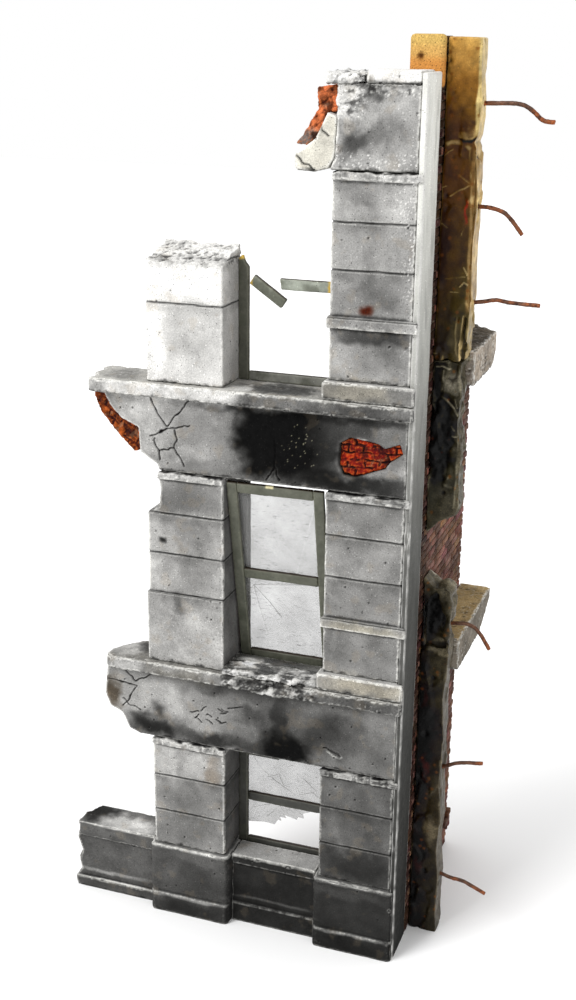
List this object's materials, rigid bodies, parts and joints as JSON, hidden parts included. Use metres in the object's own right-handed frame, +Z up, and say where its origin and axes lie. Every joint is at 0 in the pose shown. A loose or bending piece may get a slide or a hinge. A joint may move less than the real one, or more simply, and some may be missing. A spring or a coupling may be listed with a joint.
{
  "type": "miniature terrain ruin",
  "caption": "Tall corner ruin of a stone-fronted building with cracked belts, broken sashes, a brick side wall and a torn concrete fin with bent reinforcing wires.",
  "frame": {"origin": "middle of the footprint's bounding box, on the surface that the ruin stands on", "axes": "+Z up; the stone front faces -Y and runs along X; the brick side wall runs back along +Y from its right end"},
  "size_m": [0.1422, 0.0756, 0.2782],
  "materials": {
    "pale_stone": "matt paint, off-white with grey washes and chipped white edges",
    "grey_stone": "matt paint, speckled mid grey with charcoal washes",
    "soot_stone": "matt paint, soot-dark grey with light dry-brushed edges",
    "red_brick": "matt paint, orange-red brick with dark joints",
    "side_brick": "matt paint, dull pink-red brick with grey joints",
    "rough_concrete": "uneven olive-brown washes over rough concrete, satin in places",
    "amber_resin": "satin, amber to dark olive washes",
    "frame_green": "matt olive-grey paint with raw yellow breaks",
    "clear_sheet": "clear sheet, scratched and cracked",
    "rusty_wire": "copper-brown with orange rust"
  },
  "bodies": {
    "root": {"left_pier_base": "grey_stone", "right_pier_base": "soot_stone", "window_plinth": "soot_stone", "left_dwarf_wall": "grey_stone", "ground_left_pier": "grey_stone", "ground_right_pier": "soot_stone", "first_left_pier": "pale_stone", "first_right_pier": "grey_stone", "second_right_pier": "grey_stone", "second_left_pier": "pale_stone", "lower_belt_fascia": "grey_stone", "lower_belt_ledge": "pale_stone", "first_window_sill": "pale_stone", "lower_right_pedestal": "pale_stone", "upper_belt_fascia": "grey_stone", "upper_belt_brick_patch": "red_brick", "upper_belt_brick_end": "red_brick", "upper_belt_ledge": "pale_stone", "upper_right_pedestal": "grey_stone", "head_block": "soot_stone", "head_coping": "pale_stone", "head_rubble": "pale_stone", "arch_fragment": "pale_stone", "arch_brick": "red_brick", "side_return": "grey_stone", "side_wall_ground": "side_brick", "side_wall_first": "side_brick", "side_wall_second": "side_brick", "side_ledge_lower": "pale_stone", "side_ledge_upper": "grey_stone", "fin_top": "amber_resin", "fin_middle": "rough_concrete", "fin_lower": "rough_concrete", "rebar_1": "rusty_wire", "rebar_2": "rusty_wire", "rebar_3": "rusty_wire", "rebar_4": "rusty_wire", "rebar_5": "rusty_wire", "rebar_6": "rusty_wire", "ground_window_left_stile": "frame_green", "ground_window_right_stile": "frame_green", "ground_window_bottom_rail": "frame_green", "ground_window_middle_rail": "frame_green", "ground_window_top_rail": "frame_green", "ground_window_upper_pane": "clear_sheet", "ground_window_lower_pane": "clear_sheet", "first_window_left_stile": "frame_green", "first_window_right_stile": "frame_green", "first_window_bottom_rail": "frame_green", "first_window_middle_rail": "frame_green", "first_window_top_rail": "frame_green", "first_window_upper_pane": "clear_sheet", "first_window_lower_pane": "clear_sheet", "first_window_back_strip": "grey_stone", "second_window_left_stile": "frame_green", "second_window_right_stile": "frame_green", "second_window_bottom_rail": "frame_green", "second_window_right_transom": "frame_green", "second_window_left_transom": "frame_green"}
  },
  "joints": []
}
